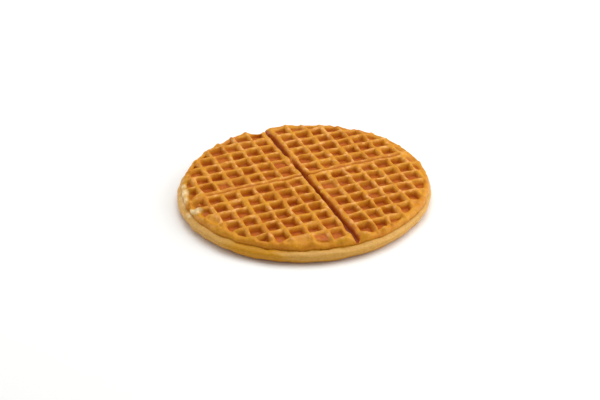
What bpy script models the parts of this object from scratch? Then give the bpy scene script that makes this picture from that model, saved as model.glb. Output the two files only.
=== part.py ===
"""A round breakfast waffle as it leaves a two-plate iron.

Both faces carry a square grid of pockets, split into quarters by two crossed score grooves. The
upper half ends in a rounded shoulder. The lower half bulges out below the seam between the two
plates and lies a little to one side of the upper one, because the plates didn't close quite in
line. The waffle lies flat, centred on the origin, with its grooves along X and Y.
"""

import math
import random
from collections import namedtuple

import bmesh
import bpy
from mathutils import Vector

# Driving dimensions, in metres
DIAMETER = 0.1786
THICKNESS = 0.0152
PITCH = 0.0119

# The rim: how far the lip reaches past the seam, the round shoulder above and the round foot below
LIP_WIDTH = 0.0031
SHOULDER_WIDTH = 0.0030
FOOT_WIDTH = 0.0068
LIP_HEIGHT = 0.0060
SEAM_HEIGHT = 0.0090
SEAM_NOTCH = 0.0005

# Where the upper half and the cross of the grooves lie, from the middle of the lower half
UPPER_SHIFT = (0.0013, 0.0003)
CROSS = (0.0026, 0.0057)

# Pockets, and how much one differs from the next
MOUTH_WIDTH = 0.0094
FLOOR_WIDTH = 0.0068
UPPER_DEPTH = 0.0050
LOWER_DEPTH = 0.0042
WIDTH_SCATTER = 0.0002
DEPTH_SCATTER = 0.0003
PLACE_SCATTER = 0.00012
RANDOM_SEED = 7

# The pocket field: the first column and row each side of the cross, how far inside the flat's edge
# it ends, and the places by the rim that stayed filled, as (column, row) counted from the cross
FIRST_COLUMN = 0.84 * PITCH
FIRST_ROW = 0.71 * PITCH
FIELD_MARGIN = 0.0009
FIELD_DRAFT = 0.0011
SMALLEST_POCKET = 0.0050
FILLED_PLACES = ((-3, -7), (-7, -3))

# The score grooves: a long deep one, which crosses the rim on the upper face only, and a shallow one
LONG_GROOVE_MOUTH = 0.0038
LONG_GROOVE_FLOOR = 0.0016
LONG_GROOVE_DEPTH = 0.0050
LONG_GROOVE_LOWER_DEPTH = 0.0040
LONG_GROOVE_LOWER_REACH = 6.5 * PITCH
CROSS_GROOVE_MOUTH = 0.0024
CROSS_GROOVE_FLOOR = 0.0010
CROSS_GROOVE_DEPTH = 0.0018
CROSS_GROOVE_REACH = 6.3 * PITCH

# How uneven each half's outline is, as (waves in a turn, height, turn at the start), and the corner
# of the upper half beside the long groove that came out short, as (first angle, last angle, depth)
UPPER_WAVES = ((2, 0.0015, 1.48), (6, 0.00015, 4.0))
LOWER_WAVES = ((2, 0.0010, 0.84), (4, 0.0002, 2.1), (6, 0.00015, 4.0))
SHORT_CORNER = (math.radians(90), math.radians(118), 0.0030)

# How finely the round stretches are divided, and which faces and edges count as level and sharp
SIDES = 90
ARC_STEPS = 4
LEVEL = 0.999
SHARP_ANGLE = math.radians(40)

# How far cutters stand above the face they cut
OVERSHOOT = 0.002

LIP_RADIUS = DIAMETER / 2
SEAM_RADIUS = LIP_RADIUS - LIP_WIDTH
TOP_RADIUS = SEAM_RADIUS - SHOULDER_WIDTH
FOOT_RADIUS = LIP_RADIUS - FOOT_WIDTH

CRUST_COLOUR = (0.62, 0.27, 0.06, 1.0)
CRUST_ROUGHNESS = 0.5


def clear_scene():
    for obj in list(bpy.data.objects):
        bpy.data.objects.remove(obj, do_unlink=True)


def new_collection(name):
    collection = bpy.data.collections.new(name)
    bpy.context.scene.collection.children.link(collection)
    return collection


def crust_material():
    """Golden brown crust: dull, with no metal in it."""
    material = bpy.data.materials.new("golden_crust")
    material.use_nodes = True
    shader = material.node_tree.nodes["Principled BSDF"]
    shader.inputs["Base Color"].default_value = CRUST_COLOUR
    shader.inputs["Roughness"].default_value = CRUST_ROUGHNESS
    shader.inputs["Metallic"].default_value = 0.0
    return material


def object_from(bm, name, collection):
    mesh = bpy.data.meshes.new(name)
    bm.to_mesh(mesh)
    bm.free()
    obj = bpy.data.objects.new(name, mesh)
    collection.objects.link(obj)
    return obj


def arc(first, last):
    """Angles from first to last, both included, in ARC_STEPS steps."""
    return [first + (last - first) * step / ARC_STEPS for step in range(ARC_STEPS + 1)]


def rim_profile():
    """(radius, height) down the rim: the shoulder, the seam's step, the lip and the foot."""
    points = []
    for angle in arc(0.0, math.pi / 2):
        radius = TOP_RADIUS + SHOULDER_WIDTH * math.sin(angle)
        height = SEAM_HEIGHT + (THICKNESS - SEAM_HEIGHT) * math.cos(angle)
        points.append((radius, height))
    for angle in arc(math.pi / 2, 0.0):
        radius = SEAM_RADIUS - SEAM_NOTCH + (LIP_WIDTH + SEAM_NOTCH) * math.cos(angle)
        height = LIP_HEIGHT + (SEAM_HEIGHT - SEAM_NOTCH - LIP_HEIGHT) * math.sin(angle)
        points.append((radius, height))
    for angle in arc(0.0, -math.pi / 2)[1:]:
        radius = FOOT_RADIUS + FOOT_WIDTH * math.cos(angle)
        height = LIP_HEIGHT + LIP_HEIGHT * math.sin(angle)
        points.append((radius, height))
    return points


def turned_rim(collection):
    """The rim as a turned band, still open above and below."""
    bm = bmesh.new()
    points = [bm.verts.new((radius, 0.0, height)) for radius, height in rim_profile()]
    for upper, lower in zip(points, points[1:]):
        bm.edges.new((upper, lower))
    rim = object_from(bm, "rim_band", collection)
    screw = rim.modifiers.new("turn", "SCREW")
    screw.axis = "Z"
    screw.steps = SIDES
    screw.render_steps = SIDES
    screw.use_merge_vertices = True
    screw.merge_threshold = 0.00001
    return rim


def wavy(angle, waves):
    """How far a half's outline stands out from a true circle at this angle."""
    return sum(height * math.sin(count * angle + turn) for count, height, turn in waves)


def upper_offset(angle):
    """The same for the upper half, whose short corner draws in most beside the groove."""
    first, last, depth = SHORT_CORNER
    if first < angle < last:
        return wavy(angle, UPPER_WAVES) - depth * math.cos(math.pi / 2 * (angle - first) / (last - first))
    return wavy(angle, UPPER_WAVES)


def lower_offset(angle):
    return wavy(angle, LOWER_WAVES)


# What presses each face: the height of the face and which way it looks, where the middle and the
# edge of its flat lie, and how deep its pegs and how long and deep its long ridge are
Plate = namedtuple("Plate", "name face outward rim_centre flat_radius outline depth long_reach long_depth")
UPPER_PLATE = Plate(
    name="upper",
    face=THICKNESS,
    outward=1,
    rim_centre=UPPER_SHIFT,
    flat_radius=TOP_RADIUS,
    outline=upper_offset,
    depth=UPPER_DEPTH,
    long_reach=DIAMETER,
    long_depth=LONG_GROOVE_DEPTH,
)
LOWER_PLATE = Plate(
    name="lower",
    face=0.0,
    outward=-1,
    rim_centre=(0.0, 0.0),
    flat_radius=FOOT_RADIUS,
    outline=lower_offset,
    depth=LOWER_DEPTH,
    long_reach=LONG_GROOVE_LOWER_REACH,
    long_depth=LONG_GROOVE_LOWER_DEPTH,
)


def push_out(vertex, offset):
    """Moves a vertex away from the Z axis."""
    radius = math.hypot(vertex.co.x, vertex.co.y)
    vertex.co.x *= 1.0 + offset / radius
    vertex.co.y *= 1.0 + offset / radius


def settle(vertex):
    """Gives each half its own uneven outline and slides the upper one aside."""
    angle = math.atan2(vertex.co.y, vertex.co.x)
    above = min(max((vertex.co.z - LIP_HEIGHT) / (SEAM_HEIGHT - SEAM_NOTCH - LIP_HEIGHT), 0.0), 1.0)
    push_out(vertex, above * upper_offset(angle) + (1.0 - above) * lower_offset(angle))
    vertex.co.x += above * UPPER_SHIFT[0]
    vertex.co.y += above * UPPER_SHIFT[1]


def make_body(collection):
    """The uncut cake: the turned rim, closed by one flat face above and one below."""
    rim = turned_rim(collection)
    graph = bpy.context.evaluated_depsgraph_get()
    mesh = bpy.data.meshes.new_from_object(rim.evaluated_get(graph))
    bpy.data.objects.remove(rim)
    bm = bmesh.new()
    bm.from_mesh(mesh)
    for vertex in bm.verts:
        settle(vertex)
    bmesh.ops.holes_fill(bm, edges=bm.edges[:], sides=0)
    bmesh.ops.recalc_face_normals(bm, faces=bm.faces[:])
    for face in bm.faces:
        face.smooth = abs(face.normal.z) < LEVEL
    body = object_from(bm, "waffle", collection)
    body.data.set_sharp_from_angle(angle=SHARP_ANGLE)
    return body


def add_tapered_block(bm, plate, centre, floor_size, mouth_size, depth):
    """One peg or ridge of a plate: a cube drawn out from a level floor to a wider mouth.

    The mouth is given where the sides pass the face, and they go on past it by OVERSHOOT.
    """
    flare = 1.0 + OVERSHOOT / depth
    for corner in bmesh.ops.create_cube(bm, size=1.0)["verts"]:
        size = floor_size
        height = plate.face - plate.outward * depth
        if corner.co.z > 0:
            size = [floor + (mouth - floor) * flare for floor, mouth in zip(floor_size, mouth_size)]
            height = plate.face + plate.outward * OVERSHOOT
        corner.co = Vector((centre[0] + corner.co.x * size[0], centre[1] + corner.co.y * size[1], height))


def finished_cutter(bm, name, collection):
    """Turns every face of a cutter outwards and puts it among the cutters."""
    bm.normal_update()
    bmesh.ops.recalc_face_normals(bm, faces=bm.faces[:])
    cutter = object_from(bm, name, collection)
    cutter.hide_render = True
    cutter.display_type = "WIRE"
    return cutter


def spread(first):
    """Pockets along one axis each side of the cross, as (number, place), from the outermost in."""
    outwards = [(step + 1, first + step * PITCH) for step in range(int(DIAMETER / 2 / PITCH))]
    return [(-number, -place) for number, place in reversed(outwards)] + outwards


def reach_inside(radius, off_x, off_y):
    """How far the nearest corner or side of a pocket at this offset lies inside a circle."""
    near_x = max(abs(off_x) - MOUTH_WIDTH / 2, 0.0)
    near_y = max(abs(off_y) - MOUTH_WIDTH / 2, 0.0)
    return radius - math.hypot(near_x, near_y)


def pocket_places(plate):
    """The middles of the pockets that reach far enough inside the field to be worth cutting."""
    places = []
    for column, across in spread(FIRST_COLUMN):
        for row, along in spread(FIRST_ROW):
            off_x = CROSS[0] + across - plate.rim_centre[0]
            off_y = CROSS[1] + along - plate.rim_centre[1]
            field_radius = plate.flat_radius + plate.outline(math.atan2(off_y, off_x)) - FIELD_MARGIN
            large_enough = reach_inside(field_radius, off_x, off_y) > SMALLEST_POCKET
            if large_enough and (column, row) not in FILLED_PLACES:
                places.append((CROSS[0] + across, CROSS[1] + along))
    return places


def field_limit(plate, collection):
    """A round block, sloped as the pockets are, that keeps only the pockets inside the flat's edge."""
    bm = bmesh.new()
    radius = plate.flat_radius - FIELD_MARGIN
    inner = plate.depth + OVERSHOOT
    outer = 2 * OVERSHOOT
    slope = FIELD_DRAFT / plate.depth
    bmesh.ops.create_cone(
        bm,
        cap_ends=True,
        segments=SIDES,
        radius1=radius - slope * inner,
        radius2=radius + slope * outer,
        depth=inner + outer,
    )
    for vertex in bm.verts:
        push_out(vertex, plate.outline(math.atan2(vertex.co.y, vertex.co.x)))
        vertex.co.z = plate.face + plate.outward * (outer if vertex.co.z > 0 else -inner)
    bmesh.ops.translate(bm, verts=bm.verts[:], vec=(*plate.rim_centre, 0.0))
    return finished_cutter(bm, plate.name + "_field", collection)


def make_pegs(plate, draws, collection):
    """The pegs that press the pockets, trimmed to the flat of the face."""
    bm = bmesh.new()
    for x, y in pocket_places(plate):
        place = (x + draws.uniform(-1, 1) * PLACE_SCATTER, y + draws.uniform(-1, 1) * PLACE_SCATTER)
        floor_width = FLOOR_WIDTH + draws.uniform(-1, 1) * WIDTH_SCATTER
        mouth_width = MOUTH_WIDTH + draws.uniform(-1, 1) * WIDTH_SCATTER
        depth = plate.depth + draws.uniform(-1, 1) * DEPTH_SCATTER
        add_tapered_block(bm, plate, place, (floor_width,) * 2, (mouth_width,) * 2, depth)
    pegs = finished_cutter(bm, plate.name + "_pegs", collection)
    trim = pegs.modifiers.new("trim", "BOOLEAN")
    trim.operation = "INTERSECT"
    trim.object = field_limit(plate, collection)
    return pegs


def make_long_ridge(plate, collection):
    """The ridge that presses the long groove, along Y."""
    bm = bmesh.new()
    length = 2 * plate.long_reach
    floor_size = (LONG_GROOVE_FLOOR, length)
    mouth_size = (LONG_GROOVE_MOUTH, length)
    add_tapered_block(bm, plate, CROSS, floor_size, mouth_size, plate.long_depth)
    return finished_cutter(bm, plate.name + "_long_ridge", collection)


def make_cross_ridge(plate, collection):
    """The ridge that presses the shallow groove, along X."""
    bm = bmesh.new()
    length = 2 * CROSS_GROOVE_REACH
    floor_size = (length, CROSS_GROOVE_FLOOR)
    mouth_size = (length, CROSS_GROOVE_MOUTH)
    add_tapered_block(bm, plate, CROSS, floor_size, mouth_size, CROSS_GROOVE_DEPTH)
    return finished_cutter(bm, plate.name + "_cross_ridge", collection)


def press(body, cutter):
    """Sinks one cutter into the cake."""
    cut = body.modifiers.new(cutter.name, "BOOLEAN")
    cut.operation = "DIFFERENCE"
    cut.object = cutter


def main():
    clear_scene()
    parts = new_collection("waffle")
    cutters = new_collection("cutters")
    body = make_body(parts)
    draws = random.Random(RANDOM_SEED)
    for plate in (UPPER_PLATE, LOWER_PLATE):
        press(body, make_pegs(plate, draws, cutters))
        press(body, make_long_ridge(plate, cutters))
        press(body, make_cross_ridge(plate, cutters))
    body.data.materials.append(crust_material())


main()
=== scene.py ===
# %% [markdown]
# A round waffle, fresh from a two-sided iron.
# Batter fills the gap between two ridged griddles, so every shape on it is a print of the iron: square
# pegs leave the pockets, a long and a cross ridge leave the score grooves, and the batter that swells
# where the griddles meet leaves the rim. We make each half as a sheet, draw the rim out of its edge and
# press the pockets and grooves into it, and then close the seam between the halves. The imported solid
# gives the size and the place, and this script makes the finely shaped, browned waffle in its stead.

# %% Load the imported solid
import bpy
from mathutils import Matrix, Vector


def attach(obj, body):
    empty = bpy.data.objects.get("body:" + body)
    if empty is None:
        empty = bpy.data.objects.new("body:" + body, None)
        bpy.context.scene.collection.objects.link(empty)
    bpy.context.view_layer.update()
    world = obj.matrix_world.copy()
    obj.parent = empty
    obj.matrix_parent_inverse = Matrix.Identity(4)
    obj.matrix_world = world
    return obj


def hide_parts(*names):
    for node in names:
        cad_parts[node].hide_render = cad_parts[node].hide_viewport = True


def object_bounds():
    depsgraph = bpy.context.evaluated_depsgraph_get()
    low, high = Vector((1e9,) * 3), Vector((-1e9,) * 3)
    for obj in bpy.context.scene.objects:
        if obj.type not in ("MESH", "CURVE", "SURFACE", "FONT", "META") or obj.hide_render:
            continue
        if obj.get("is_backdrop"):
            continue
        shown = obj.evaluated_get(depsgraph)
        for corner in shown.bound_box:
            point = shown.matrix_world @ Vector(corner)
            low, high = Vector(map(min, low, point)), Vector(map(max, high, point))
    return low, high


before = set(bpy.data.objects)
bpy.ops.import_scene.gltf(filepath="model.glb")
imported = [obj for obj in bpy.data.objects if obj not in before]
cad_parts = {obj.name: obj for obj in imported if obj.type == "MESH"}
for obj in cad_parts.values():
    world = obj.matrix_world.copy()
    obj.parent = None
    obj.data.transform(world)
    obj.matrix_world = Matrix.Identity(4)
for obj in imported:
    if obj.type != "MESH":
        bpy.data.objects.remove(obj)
solid_low, solid_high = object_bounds()
print("the solid is", [round(side * 1000, 1) for side in solid_high - solid_low], "mm")

# %% Tools for the work
import math
import random
from collections import namedtuple

import bmesh
import bpy
from mathutils import Matrix, Vector, kdtree, noise

MM = 0.001
# left alone, the noise starts from the clock, and no two runs bake the same waffle
NOISE_SEED = 4
noise.seed_set(NOISE_SEED)

# %% [markdown]
# The iron. Everything is measured from the cross, the point where the two score grooves meet. The
# pockets lie on a square grid, and the first column and row stand a little way off the grooves. The
# rim is described by how far each ring of it lies from the middle and how high it is.

# %% Measurements of the iron
THICKNESS = solid_high.z - solid_low.z
CROSS = Vector((2.6 * MM, 5.7 * MM, 0.0))
PITCH = 11.9 * MM
POCKET_MOUTH = 9.7 * MM
FIRST_COLUMN = 0.84 * PITCH
FIRST_ROW = 0.71 * PITCH
POCKETS_OUT = 8
LIP_RADIUS = 89.3 * MM
SEAM_RADIUS = 86.2 * MM
BROW_RADIUS = 79.0 * MM
BACK_BROW = 2.5 * MM
UPPER_FIELD = 82.3 * MM
FOOT_RADIUS = 82.5 * MM
LOWER_FIELD = 81.6 * MM
SEAM_HEIGHT = 9.0 * MM
SEAM_DEPTH = 0.9 * MM
LIP_HEIGHT = 6.0 * MM
print("the pockets are", round(PITCH / MM, 1), "mm apart")
print("the waffle is", round(THICKNESS / MM, 1), "mm thick")

# %% [markdown]
# The two halves. Each griddle shapes one half, down to the seam. The halves are built by the same
# functions, so a half is just a set of numbers: which way it faces, where its middle is, how its
# outline wanders from a true circle, how deep its pegs press, and how finely it is smoothed. The lower
# half hides below, so it gets fewer faces.

# %% The halves
Half = namedtuple(
    "Half", "name face outward centre waves field_radius rings pocket_depth groove_depth smoothing"
)
# each wave of an outline: how many in a turn, how high, and its turn at the start
UPPER_WAVES = ((2, 1.5 * MM, 1.48), (6, 0.15 * MM, 4.0))
LOWER_WAVES = ((2, 1.0 * MM, 0.84), (4, 0.2 * MM, 2.1), (6, 0.15 * MM, 4.0))
SHOULDER_FULLNESS = 2.3
TUCK_DROP = 0.2 * MM
LIP_GAP = 0.5 * MM


def shoulder_height(radius, angle):
    """The upper half's surface: level in the middle, then over a full round shoulder to the seam."""
    brow = BROW_RADIUS + BACK_BROW * max(math.sin(angle), 0.0)
    share = min(max((radius - brow) / (SEAM_RADIUS - brow), 0.0), 1.0)
    rise = THICKNESS - SEAM_HEIGHT
    return SEAM_HEIGHT + rise * (1.0 - share**SHOULDER_FULLNESS) ** (1.0 / SHOULDER_FULLNESS)


def down_the_shoulder(radii):
    """Rings that lie on the shoulder, whatever its height there, and one that tucks in under it."""
    tuck = (SEAM_RADIUS - SEAM_DEPTH, SEAM_HEIGHT - TUCK_DROP)
    return [(radius * MM, None) for radius in radii] + [tuck]


def round_the_lip(turns):
    """Below the seam: the batter swells out to the lip, then rounds under to the foot."""
    rings = []
    for turn in turns:
        inner = SEAM_RADIUS - SEAM_DEPTH if turn > 0 else FOOT_RADIUS
        rise = SEAM_HEIGHT - LIP_GAP - LIP_HEIGHT if turn > 0 else LIP_HEIGHT
        reach = LIP_RADIUS - inner
        angle = math.radians(turn)
        rings.append((inner + reach * math.cos(angle), LIP_HEIGHT + rise * math.sin(angle)))
    return rings


UPPER = Half(
    name="upper",
    face=THICKNESS,
    outward=1,
    centre=Vector((1.3 * MM, 0.3 * MM, 0.0)),
    waves=UPPER_WAVES,
    field_radius=UPPER_FIELD,
    rings=down_the_shoulder((83.0, 83.9, 84.7, 85.4, 85.9, 86.2)),
    pocket_depth=4.9 * MM,
    groove_depth=5.0 * MM,
    smoothing=1,
)
LOWER = Half(
    name="lower",
    face=0.0,
    outward=-1,
    centre=Vector((0.0, 0.0, 0.0)),
    waves=LOWER_WAVES,
    field_radius=LOWER_FIELD,
    rings=round_the_lip((-90, -70, -50, -32, -15, 0, 18, 36, 55, 72, 89)),
    pocket_depth=4.2 * MM,
    groove_depth=4.0 * MM,
    smoothing=0,
)
print("the upper half has", len(UPPER.rings), "rings round its rim and the lower", len(LOWER.rings))

# %% [markdown]
# The sheet. A grid of squares could be drawn line by line, but Blender's grid operator already makes
# one with even squares, so we only slide its lines to where the pocket edges and groove edges are.
# A few extra lines run close inside each pocket's edge, because smoothing rounds a corner less when
# lines lie near it. Every corner also gets room for two numbers that its colour is mixed from later.

# %% Slide a grid's lines to the pocket edges
POCKET_LINES = (-0.5, -0.36, 0.0, 0.36, 0.5)
LONG_GROOVE_LINES = (0.5 * MM, 0.8 * MM, 1.15 * MM, 1.5 * MM, 1.9 * MM, 2.6 * MM)
CROSS_GROOVE_LINES = (0.45 * MM, 0.9 * MM, 1.4 * MM)


def grid_lines(first, groove_lines):
    """Where the grid's lines cross one axis, both ways from the cross."""
    outwards = list(groove_lines)
    for step in range(POCKETS_OUT):
        middle = first + step * PITCH
        outwards += [middle + share * POCKET_MOUTH for share in POCKET_LINES] + [middle + PITCH / 2]
    return [-place for place in reversed(outwards)] + [0.0] + outwards


BROWNED_AND_SHADED = "browned_and_shaded"
PALE_AND_PAINTED_LIGHT = "pale"
POCKET = "pocket"


def squared_sheet():
    columns = grid_lines(FIRST_COLUMN, LONG_GROOVE_LINES)
    rows = grid_lines(FIRST_ROW, CROSS_GROOVE_LINES)
    bm = bmesh.new()
    bm.verts.layers.float.new(BROWNED_AND_SHADED)
    bm.verts.layers.float.new(PALE_AND_PAINTED_LIGHT)
    bm.faces.layers.int.new(POCKET)
    bmesh.ops.create_grid(bm, x_segments=len(columns) - 1, y_segments=len(rows) - 1, size=0.5)
    for vertex in bm.verts:
        column = round((vertex.co.x + 0.5) * (len(columns) - 1))
        row = round((vertex.co.y + 0.5) * (len(rows) - 1))
        vertex.co = CROSS + Vector((columns[column], rows[row], 0.0))
    return bm


print("the grid has", len(grid_lines(FIRST_COLUMN, LONG_GROOVE_LINES)), "lines from side to side")
print("and", len(grid_lines(FIRST_ROW, CROSS_GROOVE_LINES)), "from front to back")

# %% [markdown]
# Round, with straight cuts. The sheet is trimmed to the round field with one cutting plane after
# another, as a cook trims a sheet of dough. A real waffle's outline isn't a true circle, so two slow
# waves and a swell at the back say how far each cut stands out. Corners that end up in a heap are merged.

# %% Trim the sheet round
TRIM_CUTS = 56
SLIVER = 0.35 * MM
BACK_SWELL = 1.3 * MM


def wander(half, angle):
    """How far a half's outline stands out from its circle."""
    out = sum(height * math.sin(count * angle + turn) for count, height, turn in half.waves)
    if half is UPPER:
        out += BACK_SWELL * max(math.sin(angle), 0.0)
    return out


def polar(half, place):
    """A place's angle about a half's middle, and its distance less what the outline wanders there."""
    away = place - half.centre
    angle = math.atan2(away.y, away.x)
    return angle, math.hypot(away.x, away.y) - wander(half, angle)


def at_polar(half, angle, radius):
    """The place at this angle and distance about a half's middle, on the wandering outline."""
    reach = radius + wander(half, angle)
    return half.centre + Vector((math.cos(angle), math.sin(angle), 0.0)) * reach


def trim_round(bm, half):
    angles = [2 * math.pi * step / TRIM_CUTS - math.pi for step in range(TRIM_CUTS)]
    corners = [at_polar(half, angle, half.field_radius) for angle in angles]
    for corner, following in zip(corners, corners[1:] + corners[:1]):
        along = following - corner
        everything = bm.verts[:] + bm.edges[:] + bm.faces[:]
        outwards = Vector((along.y, -along.x, 0.0))
        bmesh.ops.bisect_plane(bm, geom=everything, plane_co=corner, plane_no=outwards, clear_outer=True)
    bmesh.ops.remove_doubles(bm, verts=bm.verts[:], dist=SLIVER)
    bmesh.ops.dissolve_degenerate(bm, edges=bm.edges[:], dist=SLIVER / 10)


trial = squared_sheet()
print("the square sheet has", len(trial.faces), "faces")
trim_round(trial, UPPER)
print("trimmed round it has", len(trial.faces))

# %% [markdown]
# Which squares are pockets. Each face of the sheet is asked which peg lies over its middle, and the
# faces under one peg are one pocket. Where the rim leaves a peg too little room, or where batter filled
# the place again, no pocket is pressed, and the faces are kept for a shallow dent.

# %% Find the pockets on the sheet
SMALLEST_POCKET = 5.1 * MM
FILLED_PLACES = ((-3, -7), (-7, -3))


def pocket_at(place):
    """The pocket over a place, as its column and row counted both ways from the cross, or None."""
    numbers = []
    for distance, first in ((place.x - CROSS.x, FIRST_COLUMN), (place.y - CROSS.y, FIRST_ROW)):
        step = (abs(distance) - first) / PITCH
        if step < -0.5 or abs(step - round(step)) > POCKET_MOUTH / 2 / PITCH:
            return None
        numbers.append(int(math.copysign(round(step) + 1, distance)))
    return tuple(numbers)


def pockets_on(bm):
    """The sheet's faces by pocket: the ones to press, and those where the rim left too little room."""
    places = {}
    for face in bm.faces:
        pocket = pocket_at(face.calc_center_median())
        if pocket:
            places.setdefault(pocket, []).append(face)
    pockets, cut_short = {}, {}
    for pocket in sorted(places):
        area = sum(face.calc_area() for face in places[pocket])
        kind = cut_short if area < SMALLEST_POCKET**2 or pocket in FILLED_PLACES else pockets
        kind[pocket] = places[pocket]
    return pockets, cut_short


# doming stretches the sheet a little, so the finished half has a few pockets more
trial_pockets, trial_dents = pockets_on(trial)
print("on the flat sheet", len(trial_pockets), "places are pockets and", len(trial_dents), "only a dent")
trial.free()

# %% [markdown]
# The pockets. Each one is pushed down in four steps: a soft lip, two steps of steep wall that leans in
# a little so that the waffle lets go of the iron, and a floor with a rounded corner. Insets would cross
# at the sharp corners of a pocket that the rim cuts short, but scaling each step about its own middle
# never does. The walls are made face by face, because the extrude operator gives its faces in an order
# that changes from run to run. Every step also writes how browned and shaded it is: the colour darkens
# down the pocket, partly for deeper browning and partly as painted shade.

# %% Press the pockets
# each step: how far it draws in, in millimetres, how deep it reaches, and its browning with painted shade
PRESS_STEPS = ((0.55, 0.26, 0.15), (0.35, 0.58, 0.4), (0.30, 0.90, 0.55), (0.45, 1.0, 0.6))
LIP_DROP = (0.45 * MM, 0.90 * MM)
SCALLOP = (0.8 * MM, 1.8 * MM)
DENT = (1.0 * MM, 2.0 * MM)
DENT_AT_EDGE = 0.45
DEPTH_SCATTER = 0.12
MOUTH_SCATTER = 0.08
PLACE_SCATTER = 0.40 * MM
TURN_SCATTER = math.radians(4.0)
FLOOR_SWELL = 0.7 * MM
WHOLE_SHARE = 0.97
LEAST_LEFT = 0.3
# how deep a partly filled pocket still is, by its column and row counted from the cross
PART_FILLED = {
    (-2, -7): 0.45, (7, 1): 0.55, (7, -1): 0.6, (7, 2): 0.55, (6, 4): 0.7, (-7, -1): 0.9,
    (1, 7): 0.5, (2, 7): 0.55, (3, 7): 0.5, (4, 6): 0.7, (-1, 7): 0.6, (-2, 7): 0.6,
    (5, 5): 0.65, (-1, 2): 0.6, (-5, 1): 0.65, (1, -2): 0.75, (4, 3): 0.7, (-4, 4): 0.7,
}


def corners_of(faces):
    """The faces' corners, each once, in the faces' own order."""
    return list(dict.fromkeys(vertex for face in faces for vertex in face.verts))


def narrow(vertices, margin):
    """Draws a step in by a margin on every side, towards its own middle."""
    for axis in range(2):
        low = min(vertex.co[axis] for vertex in vertices)
        high = max(vertex.co[axis] for vertex in vertices)
        factor = max(1.0 - 2 * margin / (high - low), LEAST_LEFT)
        for vertex in vertices:
            vertex.co[axis] = (low + high) / 2 + (vertex.co[axis] - (low + high) / 2) * factor


def loosen(vertices, draws):
    """Moves, turns and sizes a pocket's mouth a little, because no two pegs print alike."""
    middle = sum((vertex.co for vertex in vertices), Vector()) / len(vertices)
    size = 1.0 + draws.uniform(-1, 1) * MOUTH_SCATTER
    turn = Matrix.Rotation(draws.uniform(-1, 1) * TURN_SCATTER, 3, "Z")
    away = Vector((draws.uniform(-1, 1), draws.uniform(-1, 1), 0.0)) * PLACE_SCATTER
    for vertex in vertices:
        vertex.co = middle + away + turn @ (vertex.co - middle) * size


def soften_mouths(pockets, draws):
    """Rounds each pocket's lip over, and lowers it where the rim cuts the pocket short."""
    for faces in pockets.values():
        drop = draws.uniform(*SCALLOP)
        rounding = draws.uniform(*LIP_DROP)
        corners = corners_of(faces)
        if sum(face.calc_area() for face in faces) > WHOLE_SHARE * POCKET_MOUTH**2:
            loosen(corners, draws)
        for vertex in corners:
            if vertex.is_boundary:
                vertex.co.z -= drop
            elif any(face not in faces for face in vertex.link_faces):
                vertex.co.z -= rounding


def dent_rim(cut_short, draws):
    """Where a peg only met the shoulder, it left a shallow dent that runs out over the rim."""
    for faces in cut_short.values():
        depth = draws.uniform(*DENT)
        for vertex in corners_of(faces):
            if vertex.is_boundary:
                vertex.co.z -= depth * DENT_AT_EDGE
            elif all(face in faces for face in vertex.link_faces):
                vertex.co.z -= depth
            else:
                vertex.co.z -= LIP_DROP[0]


def step_down(bm, pressed, number):
    """Copies the pressed faces and walls the copies in, face by face, in the sheet's own order."""
    copies = {vertex: bm.verts.new(vertex.co) for vertex in corners_of(pressed)}
    inside = set(pressed)
    made = []
    for face in pressed:
        for loop in face.loops:
            if any(neighbour not in inside for neighbour in loop.edge.link_faces):
                near, far = loop.vert, loop.link_loop_next.vert
                bm.faces.new((near, far, copies[far], copies[near]))
        lowered = bm.faces.new([copies[vertex] for vertex in face.verts])
        lowered[number] = face[number]
        made.append(lowered)
    bmesh.ops.delete(bm, geom=pressed, context="FACES")
    return made


def press_pockets(bm, half, pockets, draws):
    """All pockets go down together, one step at a time; a number on each face says whose it is."""
    browned_and_shaded = bm.verts.layers.float[BROWNED_AND_SHADED]
    number = bm.faces.layers.int[POCKET]
    floors = {}
    for index, (pocket, faces) in enumerate(pockets.items(), start=1):
        depth = half.pocket_depth * (1.0 + draws.uniform(-1, 1) * DEPTH_SCATTER)
        if half is UPPER:
            depth *= PART_FILLED.get(pocket, 1.0)
        floors[index] = -depth
        for face in faces:
            face[number] = index
    pressed = [face for faces in pockets.values() for face in faces]
    done = 0.0
    for margin, share, browning_and_shade in PRESS_STEPS:
        pressed = step_down(bm, pressed, number)
        step = {index: [] for index in floors}
        for face in pressed:
            step[face[number]].append(face)
        for index, faces in step.items():
            vertices = corners_of(faces)
            narrow(vertices, margin * MM)
            for vertex in vertices:
                vertex.co.z += (floors[index] - vertex.co.z) * (share - done) / (1.0 - done)
                # a darker tone down the pocket: deeper browning, partly painted shade
                vertex[browned_and_shaded] = browning_and_shade
        done = share
    for index, faces in step.items():
        swell = draws.uniform(0.0, FLOOR_SWELL)
        inside = set(faces)
        for vertex in corners_of(faces):
            if all(face in inside for face in vertex.link_faces):
                vertex.co.z += swell


print("each pocket goes down in", len(PRESS_STEPS), "steps, and", len(PART_FILLED), "stay partly filled")

# %% [markdown]
# The rim. The sheet's outer edge is copied ring by ring, and each ring is joined to the last: over the
# round shoulder and down to the seam on the upper half, and round the foot and the swollen lip on the
# lower one. A spun profile would be simpler, but its rings would not share corners with the pocket
# grid. Near the edge the ribs run out over the shoulder, and the crust sinks a little between them.

# %% Draw the rim out of the sheet's edge
# how much of a lowered edge is left one ring further out
SCALLOP_FADE = 0.75
# where the crust begins to sink between the ribs, and how deep it lies there at the sheet's edge
RIBS_SINK_FROM = 77.0 * MM
HOLLOW = 1.8 * MM
RIB_END_WIDTH = 2.6 * MM
# how high on the lower half the crust begins to turn pale
PALE_FROM = 0.5 * MM
PALE_RISE = 3.0 * MM
# a painted highlight: above this height the top of the lower lip is painted pale cream
LIP_TOP_HIGHLIGHT_FROM = LIP_HEIGHT + 1.0 * MM
LIP_TOP_HIGHLIGHT = 1.1


def edge_loop(bm):
    """The edges that have a face on one side only."""
    return [edge for edge in bm.edges if edge.is_boundary]


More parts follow.
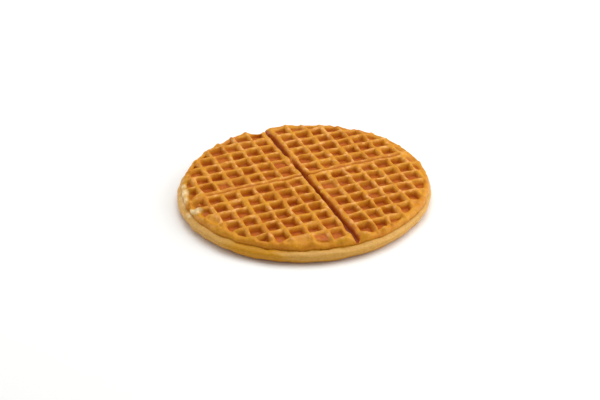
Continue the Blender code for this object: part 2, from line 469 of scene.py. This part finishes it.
def between_ribs(place):
    """For the ribs along Y and those along X: 0 on the middle line of a rib, and 1 between two ribs."""
    shares = []
    for distance, first in ((place.x - CROSS.x, FIRST_COLUMN), (place.y - CROSS.y, FIRST_ROW)):
        step = (abs(distance) - first) / PITCH - 0.5
        shares.append(min(abs(step - round(step)) * PITCH / RIB_END_WIDTH, 1.0))
    return shares


def dome(bm, half):
    """Lets the sheet fall away where the upper half's shoulder begins, with hollows between the ribs."""
    for vertex in bm.verts:
        angle, radius = polar(half, vertex.co)
        along_y, along_x = between_ribs(vertex.co)
        hollow = along_y * math.sin(angle) ** 2 + along_x * math.cos(angle) ** 2
        run_out = min(max((radius - RIBS_SINK_FROM) / (half.field_radius - RIBS_SINK_FROM), 0.0), 1.0)
        vertex.co.z = shoulder_height(radius, angle) - THICKNESS - HOLLOW * run_out * hollow


def ring_level(half, ring, angle):
    """How far a ring lies from its half's face, at this angle."""
    radius, height = ring
    if height is None:
        height = shoulder_height(radius, angle)
    return half.outward * (height - half.face)


def draw_ring(bm):
    """Copies the open edge's corners and joins them to it face by face, in the sheet's own order."""
    copies = {}
    for vertex in bm.verts[:]:
        if vertex.is_boundary:
            copies[vertex] = bm.verts.new(vertex.co)
    for edge in edge_loop(bm):
        loop = edge.link_loops[0]
        near, far = loop.vert, loop.link_loop_next.vert
        bm.faces.new((far, near, copies[near], copies[far]))
    return list(copies.values())


def draw_rim(bm, half):
    """Each ring follows the profile, and a lip that was lowered fades out over the next rings."""
    pale = bm.verts.layers.float[PALE_AND_PAINTED_LIGHT]
    previous = (half.field_radius, None if half is UPPER else half.face)
    for ring in half.rings:
        radius, height = ring
        for vertex in draw_ring(bm):
            angle, _ = polar(half, vertex.co)
            lowered = min(vertex.co.z - ring_level(half, previous, angle), 0.0) if half is UPPER else 0.0
            vertex.co = at_polar(half, angle, radius)
            vertex.co.z = ring_level(half, ring, angle) + lowered * SCALLOP_FADE
            if half is LOWER:
                vertex[pale] = min(max((height - PALE_FROM) / PALE_RISE, 0.0), 1.0)
                # painted highlight along the top of the lower lip
                if height > LIP_TOP_HIGHLIGHT_FROM:
                    vertex[pale] = LIP_TOP_HIGHLIGHT
        previous = ring


print("between the ribs the upper edge lies", round(HOLLOW / MM, 1), "mm lower")

# %% [markdown]
# The score grooves. The long groove runs right through the upper rim, so it is pressed after the rim
# is drawn: every corner that lies over the ridge goes down at least as far as the ridge reaches there.
# A boolean cut would leave a seam of odd faces across the pocket grid. The groove isn't even: batter
# bridges it at one place, it is wider towards the back, and it ends in a wide pit at the front.

# %% Press the grooves
# across each groove: how far from its middle, in millimetres, and how deep there
LONG_GROOVE = ((0.0, 1.0), (0.8, 1.0), (1.15, 0.88), (1.5, 0.58), (1.9, 0.22), (2.6, 0.0))
CROSS_GROOVE = ((0.0, 1.0), (0.45, 1.0), (0.9, 0.75), (1.4, 0.2), (2.2, 0.0))
CROSS_GROOVE_DEPTH = 2.2 * MM
CROSS_GROOVE_REACH = 6.3 * PITCH
CROSS_DEEP_LENGTH = 12.0 * MM
LOWER_GROOVE_REACH = 6.5 * PITCH
BRIDGE_PLACE = 26.0 * MM
BRIDGE_LENGTH = 3.0 * MM
PIT_PLACE = -79.0 * MM
PIT_LENGTH = 6.0 * MM
GROOVE_WAVER = 9.0 * MM
WIDE_PLACE = 48.0 * MM
WIDE_LENGTH = 16.0 * MM
BRIDGE_FILLS = 0.6
BRIDGE_NARROWS = 0.45
PIT_DEEPENS = 0.1
PIT_WIDENS = 0.6
BACK_WIDENS = 0.25
WAVER = 0.3
CROSS_DEEPENS = 0.8


def depth_across(shape, distance):
    """How deep a groove is at a distance from its middle, as a share of its full depth."""
    distance = abs(distance) / MM
    for (near, deep), (far, shallow) in zip(shape, shape[1:]):
        if distance <= far:
            return deep + (shallow - deep) * (distance - near) / (far - near)
    return 0.0


def bell(along, middle, length):
    """1 at the middle, and next to nothing two lengths away from it."""
    return math.exp(-(((along - middle) / length) ** 2))


def long_groove_at(half, along):
    """How deep and how wide the long groove is at this place along it, as shares of the usual."""
    if half is LOWER:
        return (1.0 if abs(along) < LOWER_GROOVE_REACH else 0.0), 1.0
    bridge = bell(along, BRIDGE_PLACE, BRIDGE_LENGTH)
    pit = bell(along, PIT_PLACE, PIT_LENGTH)
    back = bell(along, WIDE_PLACE, WIDE_LENGTH)
    uneven = WAVER * noise.noise((0.0, along / GROOVE_WAVER, 5.0))
    depth = 1.0 - BRIDGE_FILLS * bridge + PIT_DEEPENS * pit
    width = 1.0 - BRIDGE_NARROWS * bridge + PIT_WIDENS * pit + BACK_WIDENS * back + uneven
    return depth, width


def press_grooves(bm, half):
    """Lowers what lies over the two ridges, and writes how browned and shaded it is: deeper browning, and
    painted shade in the grooves.
    """
    browned_and_shaded = bm.verts.layers.float[BROWNED_AND_SHADED]
    for vertex in bm.verts:
        across, along, _ = vertex.co - CROSS
        share, width = long_groove_at(half, along)
        long_depth = half.groove_depth * share * depth_across(LONG_GROOVE, across / width)
        near = 1.0 + CROSS_DEEPENS * bell(across, 0.0, CROSS_DEEP_LENGTH)
        cross_depth = CROSS_GROOVE_DEPTH * near * depth_across(CROSS_GROOVE, along)
        if abs(across) > CROSS_GROOVE_REACH:
            cross_depth = 0.0
        depth = max(long_depth, cross_depth)
        if -depth < vertex.co.z:
            vertex.co.z = -depth
            vertex[browned_and_shaded] = max(vertex[browned_and_shaded], min(depth / half.groove_depth, 1.0))


print("the long groove is", round(UPPER.groove_depth / MM, 1), "mm deep on top")

# %% [markdown]
# From sheet to half. The steps so far run in the order in which the shapes lean on each other, and the
# half is then smoothed, because an iron has no sharp edges. The sheet is built with its face at height
# zero, so that up and down mean the same for both halves, and the half is turned to its side at the end.

# %% Make each half
DRAWS_SEED = 11


def object_from(bm, name):
    """A new object in the scene with this shape. The working mesh is freed."""
    mesh = bpy.data.meshes.new(name)
    bm.to_mesh(mesh)
    bm.free()
    piece = bpy.data.objects.new(name, mesh)
    bpy.context.scene.collection.objects.link(piece)
    return piece


def smoothed_mesh(piece, levels):
    """The piece's mesh after smoothing, with the piece itself removed."""
    if levels:
        soften = piece.modifiers.new("soften", "SUBSURF")
        soften.levels = levels
        soften.render_levels = levels
    graph = bpy.context.evaluated_depsgraph_get()
    mesh = bpy.data.meshes.new_from_object(piece.evaluated_get(graph))
    bpy.data.objects.remove(piece)
    return mesh


def make_half(half, draws):
    """One half's mesh, in its place."""
    bm = squared_sheet()
    trim_round(bm, half)
    if half is UPPER:
        dome(bm, half)
    pockets, cut_short = pockets_on(bm)
    soften_mouths(pockets, draws)
    if half is UPPER:
        dent_rim(cut_short, draws)
    draw_rim(bm, half)
    press_pockets(bm, half, pockets, draws)
    press_grooves(bm, half)
    mesh = smoothed_mesh(object_from(bm, half.name + "_half"), half.smoothing)
    for vertex in mesh.vertices:
        vertex.co.z = half.face + half.outward * vertex.co.z
    print("the", half.name, "half has", len(pockets), "pockets and", len(mesh.polygons), "faces")
    return mesh


draws = random.Random(DRAWS_SEED)
upper_mesh = make_half(UPPER, draws)
lower_mesh = make_half(LOWER, draws)

# %% [markdown]
# Closing the seam. The halves now end in two open rings, one just inside the other, as the batter on
# the two griddles meets. Smoothing doubled the corners of the upper ring but not those of the lower
# one. The bridge operator copes with that: it sets a triangle where a corner has no partner.

# %% Bridge the halves
def close_seam(upper, lower):
    """Both halves in one closed mesh, with every face turned outward."""
    bm = bmesh.new()
    bm.from_mesh(lower)
    bm.from_mesh(upper)
    bmesh.ops.bridge_loops(bm, edges=edge_loop(bm))
    bmesh.ops.recalc_face_normals(bm, faces=bm.faces[:])
    open_edges = len(edge_loop(bm))
    print("after the bridge", open_edges, "edges are open and there are", len(bm.faces), "faces")
    return bm


waffle_bm = close_seam(upper_mesh, lower_mesh)

# %% [markdown]
# Uneven batter. A print of an iron would be as exact as the iron, but batter sticks, steams and sags
# as it bakes. Two noises move the corners of the mesh itself: a slow one sways ribs and rim by up to
# half a millimetre or so, and a quick one roughens the crust. Doing it to the mesh rather than in the
# material keeps the uneven outline of each rib, which a bump could not give. No corner may leave the
# solid's height, so that the waffle still lies flat.

# %% Sway and roughen the crust
SWAY = 0.75 * MM
SWAY_LENGTH = 6.5 * MM
ROUGH = 0.13 * MM
ROUGH_LENGTH = 2.4 * MM
# how fast the finer lumps weaken, how much finer each is than the last, and how many there are
ROUGH_LUMPS = (0.8, 2.0, 3)

waffle_bm.normal_update()
for vertex in waffle_bm.verts:
    sway = noise.noise_vector(vertex.co / SWAY_LENGTH) * SWAY
    rough = noise.fractal(vertex.co / ROUGH_LENGTH, *ROUGH_LUMPS) * ROUGH
    swayed = vertex.co + sway + vertex.normal * rough
    swayed.z = min(max(swayed.z, 0.0), THICKNESS)
    vertex.co = swayed
print("swayed and roughened", len(waffle_bm.verts), "corners")

# %% [markdown]
# What only this waffle has. A bubble dried in one pocket, batter ran over the groove's edge, the rim
# tore at one end, slumped beside the groove at the back and stands up in lobes at the front. Each is a
# small pull on the corners near one place, which fades out with distance, as a thumb moves clay. A
# sculpting brush does the same by hand. A pull can also leave the crust paler or browner, and some
# pulls paint light: highlights on the left shoulder, the torn lip and the rib ends, and a lit right rim.

# %% Pull the crust about
# places, reaches and moves are in millimetres
Pull = namedtuple("Pull", "name place reach move pale")
PULLS = (
    Pull("bubble in a pocket", (-16.4, -17.6, 11.0), 3.4, (0.0, 0.0, 3.0), 0.6),
    Pull("batter over the groove's edge", (5.6, -21.0, 14.0), 3.8, (-1.8, 0.0, 0.5), 0.7),
    Pull("short corner left of the groove", (-3.2, 84.5, 14.5), 9.5, (0.5, -5.5, -0.8), 0.0),
    Pull("rounded corner right of the groove", (4.5, 83.0, 14.0), 5.0, (1.5, -1.5, -1.6), 0.3),
    Pull("back pit of the tear", (-80.8, 7.8, 13.5), 4.4, (0.0, 0.0, -3.8), -0.5),
    Pull("middle pit of the tear", (-81.0, 1.6, 13.0), 3.6, (0.0, 0.0, -3.0), -0.5),
    Pull("thin wall in the tear", (-78.9, -1.6, 11.0), 2.4, (0.0, 0.0, 3.4), 0.5),
    Pull("second thin wall", (-74.6, -3.0, 14.0), 2.2, (0.0, 0.0, 0.6), 0.9),
    Pull("split down the rim", (-86.8, 0.8, 10.5), 4.0, (1.2, 0.0, -2.4), 0.0),
    # the torn lip: pale torn batter, with a painted highlight over it
    Pull("torn lip standing up", (-83.0, -9.0, 13.0), 6.0, (-0.5, 0.0, 1.15), 2.3),
    Pull("outer end of the torn lip", (-87.0, -5.5, 10.5), 4.5, (-0.6, 0.0, 1.5), 2.0),
    Pull("inner end of the torn lip", (-79.0, -12.0, 14.0), 3.6, (0.0, 0.0, 0.9), 1.6),
    # painted highlight along the left shoulder
    Pull("left shoulder by the tear", (-84.8, 9.3, 12.0), 6.5, (0.0, 0.0, 0.2), 1.9),
    Pull("left shoulder", (-83.0, 18.0, 12.3), 7.0, (0.0, 0.0, 0.2), 2.1),
    Pull("left shoulder further back", (-80.8, 27.0, 12.5), 6.5, (0.0, 0.0, 0.1), 1.7),
    Pull("left shoulder at its end", (-78.0, 35.0, 12.5), 6.0, (0.0, 0.0, 0.0), 1.0),
    Pull("hole by the front rim", (30.5, -76.5, 13.4), 2.4, (0.0, 0.6, -2.0), 0.0),
    Pull("hole beside it", (34.5, -75.0, 13.4), 1.8, (0.0, 0.4, -1.4), 0.0),
    Pull("pit left of the front", (-74.5, -29.0, 14.2), 1.9, (0.3, 0.2, -0.9), 0.0),
    Pull("pit further left", (-77.0, -24.5, 14.0), 1.6, (0.3, 0.2, -0.8), 0.0),
    Pull("pit nearer the front", (-70.5, -34.5, 14.2), 1.8, (0.2, 0.3, -0.7), 0.0),
    # painted highlights on rib ends that catch the light
    Pull("rib end at the left", (-60.0, -54.5, 14.0), 2.6, (0.0, 0.0, 0.5), 1.1),
    Pull("rib end nearer the front", (-48.0, -63.0, 14.0), 2.6, (0.0, 0.0, 0.4), 0.9),
    Pull("lobe of the front rim", (-24.5, -77.5, 13.0), 5.5, (0.0, -0.4, 1.35), 0.45),
    # painted highlights on two more rib ends
    Pull("rib end after that lobe", (-19.0, -79.0, 13.0), 2.4, (0.0, 0.0, 0.5), 1.1),
    Pull("rib end between pockets", (-13.0, -77.5, 13.8), 2.4, (0.0, 0.0, 0.4), 0.7),
    Pull("lobe left of the groove", (-6.5, -82.0, 12.8), 6.5, (0.0, -0.4, 2.15), 0.25),
    Pull("lobe right of the groove", (9.5, -81.5, 13.0), 5.5, (0.0, -0.4, 1.8), 0.35),
    Pull("lobe further right", (24.0, -79.0, 13.0), 5.5, (0.0, -0.4, 2.1), 0.5),
    Pull("browner lower lip", (-62.0, -63.0, 4.0), 30.0, (0.0, 0.0, 0.0), -0.45),
    # painted light on the right rim, which faces the lamps
    Pull("right rim, behind", (83.3, 16.0, 13.5), 5.0, (0.0, 0.0, 0.3), 0.7),
    Pull("right rim, in front", (83.8, -0.9, 13.5), 4.0, (0.0, 0.0, 0.3), 0.6),
)


def pull_about(bm, pulls):
    """Moves and tones the corners within reach of each pull's place."""
    pale = bm.verts.layers.float[PALE_AND_PAINTED_LIGHT]
    near_by = kdtree.KDTree(len(bm.verts))
    corners = bm.verts[:]
    for index, vertex in enumerate(corners):
        near_by.insert(vertex.co, index)
    near_by.balance()
    for pull in pulls:
        moved = near_by.find_range(Vector(pull.place) * MM, pull.reach * MM)
        for _, index, distance in moved:
            fade = (1.0 - (distance / (pull.reach * MM)) ** 2) ** 2
            corners[index].co += Vector(pull.move) * MM * fade
            corners[index][pale] += pull.pale * fade
        print(pull.name, "moves", len(moved), "corners")


pull_about(waffle_bm, PULLS)
waffle = object_from(waffle_bm, "crust")

# %% [markdown]
# The waffle's place in the library. It rides on the part's one body and stands in for the solid's one
# node. Every face is shaded smoothly.

# %% Give the waffle its place in the frame
for polygon in waffle.data.polygons:
    polygon.use_smooth = True
triangles = sum(len(polygon.vertices) - 2 for polygon in waffle.data.polygons)
print("the waffle has", triangles, "triangles")

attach(waffle, "root")
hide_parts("waffle")

# %% [markdown]
# Colours. A screen colour is not an amount of light, so one function turns hex values into the linear
# values that Blender mixes, and one function adds a node with its settings and links.

# %% Colours and nodes
def colour(hex_value):
    """A screen colour as linear light."""
    channels = [int(hex_value[start:start + 2], 16) / 255 for start in (1, 3, 5)]
    linear = [c / 12.92 if c <= 0.04045 else ((c + 0.055) / 1.055) ** 2.4 for c in channels]
    return (*linear, 1.0)


def add_node(tree, kind, settings=(), links=(), values=()):
    """One node: its settings, the sockets that are linked to it, and its fixed values."""
    node = tree.nodes.new(kind)
    for name, value in dict(settings).items():
        setattr(node, name, value)
    for socket, source in dict(links).items():
        tree.links.new(source, node.inputs[socket])
    for socket, value in dict(values).items():
        node.inputs[socket].default_value = value
    return node


print("middle grey on a screen is", round(colour("#808080")[0], 2), "of full light")

# %% [markdown]
# Baked batter. Sugar and egg brown where the crust lies close to the hot iron, so the floors of the
# pockets and the grooves are darkest, and their dark tone holds painted shade as well; the rim, which
# only steam touched, is pale. The two numbers of each corner choose between these tones, and the pale
# one also lays on painted highlights. Over them lie broad brown blotches, painted highlights in patches
# on the crests of the ribs and fine grain, all sized in real millimetres. Crust is dull, with a faint
# buttery sheen, and lets a little light in.

# %% Baked batter
crust = bpy.data.materials.new("baked_batter_crust")
crust.use_nodes = True
tree = crust.node_tree
shader = tree.nodes["Principled BSDF"]
shader.inputs["Roughness"].default_value = 0.42
shader.inputs["IOR"].default_value = 1.45
shader.inputs["Specular IOR Level"].default_value = 0.25
shader.inputs["Subsurface Weight"].default_value = 0.12
shader.inputs["Subsurface Radius"].default_value = (1.0, 0.45, 0.15)
shader.inputs["Subsurface Scale"].default_value = 2.0 * MM

# the Mix node's colour sockets share their names with others, so they go by number
MIX_SHARE, MIX_UNDER, MIX_OVER, MIXED = 0, 6, 7, 2
# tones from the iron's browning, darkest in pocket floors and grooves; the dark end is partly painted
# shade
BROWNING_AND_SHADE_TONES = (
    (0.0, "#d4921c"), (0.3, "#cf8820"), (0.55, "#c46e1e"), (0.8, "#b05a1a"), (1.0, "#903f0d"),
)
CREST_LOW = 13.6 * MM
CREST_HIGH = 14.6 * MM
# sizes in millimetres
BLOTCH_SIZE = 14
HIGHLIGHT_PATCH_SIZE = 4.5
GRAIN_SIZE = 1.6
GRAIN_HEIGHT = 0.25 * MM

spot = add_node(tree, "ShaderNodeTexCoord").outputs["Object"]


def per_metre(millimetres):
    """A noise node's scale for lumps of this size, because the mesh is in metres."""
    return 1000.0 / millimetres


def set_stops(ramp, stops):
    elements = ramp.color_ramp.elements
    while len(elements) < len(stops):
        elements.new(1.0)
    for element, (share, value) in zip(elements, stops):
        element.position = share
        element.color = colour(value)


def lumps(millimetres, detail):
    """Noise over the crust, with lumps of this size."""
    values = {"Scale": per_metre(millimetres), "Detail": detail}
    return add_node(tree, "ShaderNodeTexNoise", links={"Vector": spot}, values=values).outputs["Fac"]


def rescaled(source, low, high, at_low, at_high):
    """A number that runs from one value to another as its source runs from low to high."""
    limits = {"From Min": low, "From Max": high, "To Min": at_low, "To Max": at_high}
    return add_node(tree, "ShaderNodeMapRange", links={"Value": source}, values=limits).outputs["Result"]


def toned(under, share, over, blend="MIX"):
    """A colour with another laid over it, by a share."""
    settings = {"data_type": "RGBA", "blend_type": blend}
    links = {MIX_SHARE: share, MIX_UNDER: under}
    return add_node(tree, "ShaderNodeMix", settings, links, {MIX_OVER: colour(over)}).outputs[MIXED]


height = add_node(tree, "ShaderNodeSeparateXYZ", links={"Vector": spot}).outputs["Z"]
browned_and_shaded = add_node(tree, "ShaderNodeAttribute", {"attribute_name": BROWNED_AND_SHADED}).outputs["Fac"]
pale = add_node(tree, "ShaderNodeAttribute", {"attribute_name": PALE_AND_PAINTED_LIGHT}).outputs["Fac"]
browning_and_shade_ramp = add_node(tree, "ShaderNodeValToRGB", links={"Fac": browned_and_shaded})
set_stops(browning_and_shade_ramp, BROWNING_AND_SHADE_TONES)

blotches = rescaled(lumps(BLOTCH_SIZE, 3.0), 0.42, 0.72, 0.0, 0.45)
blotched = toned(browning_and_shade_ramp.outputs["Color"], blotches, "#e0a880", "MULTIPLY")
# painted highlights: lighter patches, on the tops of the ribs only
highlight_patches = rescaled(lumps(HIGHLIGHT_PATCH_SIZE, 2.0), 0.5, 0.68, 0.0, 0.85)
crests = rescaled(height, CREST_LOW, CREST_HIGH, 0.0, 1.0)
crest_highlights = add_node(tree, "ShaderNodeMath", {"operation": "MULTIPLY"}, {0: highlight_patches, 1: crests})
with_crest_highlights = toned(blotched, crest_highlights.outputs[0], "#f0b266")
# the rim's own pale tone, which some pulls also lay on as painted light
with_pale_rim_and_painted_light = toned(with_crest_highlights, pale, "#c78f18")
# cream for the torn batter, and for the painted highlights where the pale number runs high
with_cream_and_painted_highlights = toned(with_pale_rim_and_painted_light, rescaled(pale, 0.8, 2.0, 0.0, 0.9), "#f6dca6")
grain = lumps(GRAIN_SIZE, 4.0)
speckled = toned(with_cream_and_painted_highlights, rescaled(grain, 0.35, 0.65, 0.25, 0.0), "#c08850", "MULTIPLY")
tree.links.new(speckled, shader.inputs["Base Color"])

bump_values = {"Strength": 0.6, "Distance": GRAIN_HEIGHT}
bump = add_node(tree, "ShaderNodeBump", links={"Height": grain}, values=bump_values)
tree.links.new(bump.outputs["Normal"], shader.inputs["Normal"])
waffle.data.materials.append(crust)
print("the crust's material has", len(tree.nodes), "nodes")

# %% [markdown]
# The floor. A plain pale sheet of paper, wide enough that no edge of it shows.

# %% Floor
FLOOR_REACH = 3.0
floor_bm = bmesh.new()
bmesh.ops.create_grid(floor_bm, x_segments=1, y_segments=1, size=FLOOR_REACH)
floor = object_from(floor_bm, "floor")
floor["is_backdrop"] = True
paper = bpy.data.materials.new("white_paper")
paper.use_nodes = True
paper_shader = paper.node_tree.nodes["Principled BSDF"]
paper_shader.inputs["Base Color"].default_value = colour("#f4f4f2")
paper_shader.inputs["Roughness"].default_value = 0.9
floor.data.materials.append(paper)
print("the paper is", 2 * FLOOR_REACH, "m wide")

# %% [markdown]
# Soft studio light. A big lamp hangs almost overhead, a wide one low at the right models the pockets,
# and a small low one behind on the left puts the bright edge on the left shoulder. A white sky fills
# the shadows, as the walls of a bright studio do.

# %% Light
LAMP_DISTANCE = 1.0
scene = bpy.context.scene
scene.view_settings.view_transform = "Standard"
world = bpy.data.worlds.new("studio")
world.use_nodes = True
sky = world.node_tree.nodes["Background"]
sky.inputs["Color"].default_value = (1, 1, 1, 1)
sky.inputs["Strength"].default_value = 0.40
scene.world = world


def softbox(name, azimuth, elevation, size, power):
    """A square lamp that looks at the waffle, from a compass angle and a height, both in degrees."""
    lamp = bpy.data.lights.new(name, "AREA")
    lamp.size = size
    lamp.energy = power
    box = bpy.data.objects.new(name, lamp)
    turn = math.radians(azimuth)
    rise = math.radians(elevation)
    way = Vector((math.sin(turn) * math.cos(rise), math.cos(turn) * math.cos(rise), math.sin(rise)))
    box.location = way * LAMP_DISTANCE
    box.rotation_mode = "QUATERNION"
    box.rotation_quaternion = (-way).to_track_quat("-Z", "Y")
    scene.collection.objects.link(box)
    print(name, "lamp,", size, "m wide, at", power, "W")


# compass angles run clockwise from the far end of the long groove
softbox("window", 310, 18, 0.5, 2.3)
softbox("key", 112, 28, 0.9, 7.0)
softbox("overhead", 40, 78, 1.0, 7.2)

# %% [markdown]
# The camera. It looks at the cross from the front and a little from the left. The grid of pockets is a
# good ruler: the lens follows from how many pixels one pitch takes at the cross.

# %% Camera
# angles in radians, shifts in pixels
ELEVATION = 0.5154
YAW = 0.3947
ROLL = -0.008
PITCHES_AWAY = 76
DISTANCE = PITCHES_AWAY * PITCH
PIXELS_PER_PITCH = 16.79
PICTURE_WIDTH = 600
SENSOR_WIDTH = 36
SHIFT_RIGHT = -4.46
SHIFT_UP = -26.56
lens = bpy.data.cameras.new("camera")
lens.lens = PIXELS_PER_PITCH * PITCHES_AWAY / PICTURE_WIDTH * SENSOR_WIDTH
lens.sensor_width = SENSOR_WIDTH
lens.shift_x = SHIFT_RIGHT / PICTURE_WIDTH
lens.shift_y = SHIFT_UP / PICTURE_WIDTH
camera = bpy.data.objects.new("camera", lens)
scene.collection.objects.link(camera)
aim = CROSS + Vector((0, 0, THICKNESS))
away = Vector((math.sin(YAW), math.cos(YAW), 0))
stand = aim - away * DISTANCE * math.cos(ELEVATION) + Vector((0, 0, DISTANCE * math.sin(ELEVATION)))
look = (aim - stand).to_track_quat("-Z", "Y").to_matrix().to_4x4()
camera.matrix_world = Matrix.Translation(stand) @ look @ Matrix.Rotation(ROLL, 4, "Z")
scene.camera = camera
print("the lens is", round(lens.lens), "mm long and stands", round(DISTANCE, 2), "m from the cross")

# %% [markdown]
# Sizes. How far the finished waffle's box goes past the solid's is printed.

# %% Sizes
visual_low, visual_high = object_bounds()
past = max(*(solid_low - visual_low), *(visual_high - solid_high))
print("the waffle goes past the solid by at most", round(past / MM, 2), "mm")
